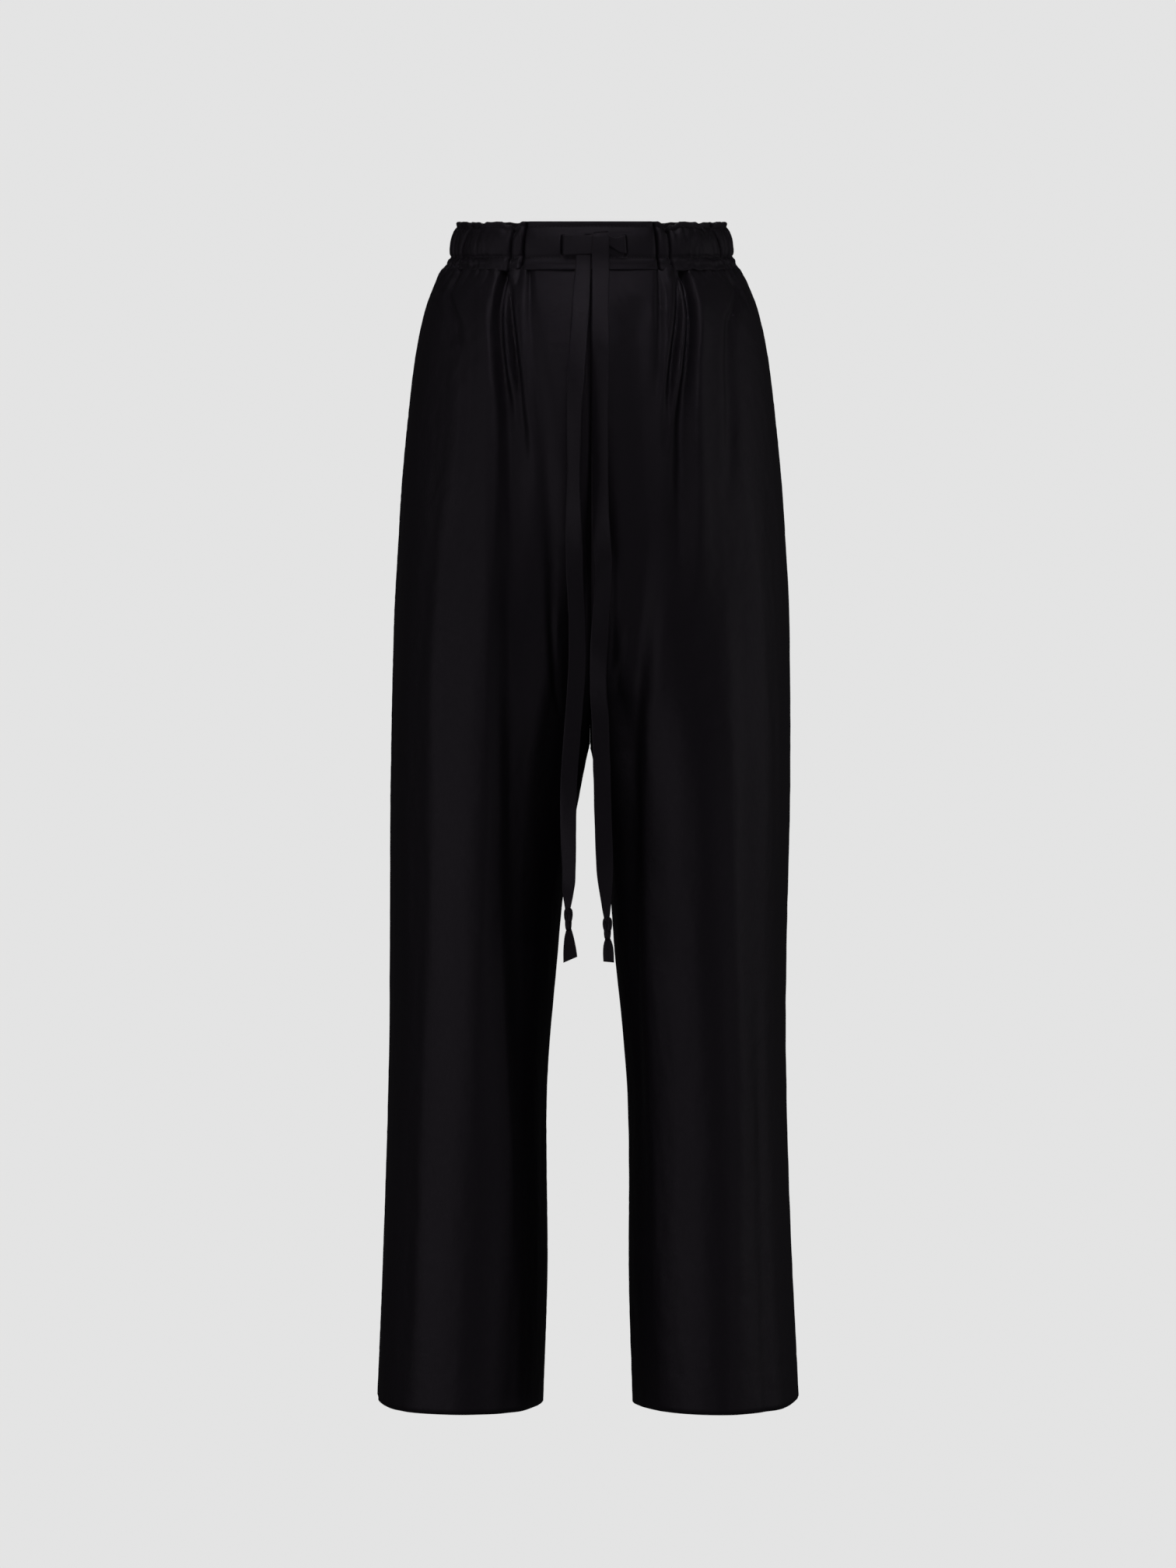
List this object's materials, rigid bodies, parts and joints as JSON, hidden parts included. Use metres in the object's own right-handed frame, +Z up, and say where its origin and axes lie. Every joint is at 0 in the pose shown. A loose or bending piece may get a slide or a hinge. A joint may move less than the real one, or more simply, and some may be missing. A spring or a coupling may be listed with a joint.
{
  "type": "wide-leg drawstring trousers",
  "caption": "Full-length wide-leg trousers in dark satin-like cloth, with a flat-fronted elasticated waist, long flat drawstring ties and turned-up hems, filled out as worn.",
  "frame": {"origin": "middle of the waist opening, halfway up the elastic casing, where a wearer holds the trousers", "axes": "+Z up along the body, front faces -Y, the wearer's left is +X"},
  "size_m": [0.3726, 0.2691, 1.0557],
  "materials": {
    "leg_cloth": "soft satin",
    "band_cloth": "soft satin, gathered",
    "tape_cloth": "soft satin tape"
  },
  "bodies": {
    "root": {"front_left_leg": "leg_cloth", "back_left_leg": "leg_cloth", "front_right_leg": "leg_cloth", "back_right_leg": "leg_cloth", "waistband_front": "band_cloth", "waistband_gathered": "band_cloth", "drawstring_left": "tape_cloth", "drawstring_left_lead": "tape_cloth", "drawstring_left_knot": "tape_cloth", "drawstring_left_tail": "tape_cloth", "drawstring_right": "tape_cloth", "drawstring_right_lead": "tape_cloth", "drawstring_right_knot": "tape_cloth", "drawstring_right_tail": "tape_cloth"}
  },
  "joints": []
}
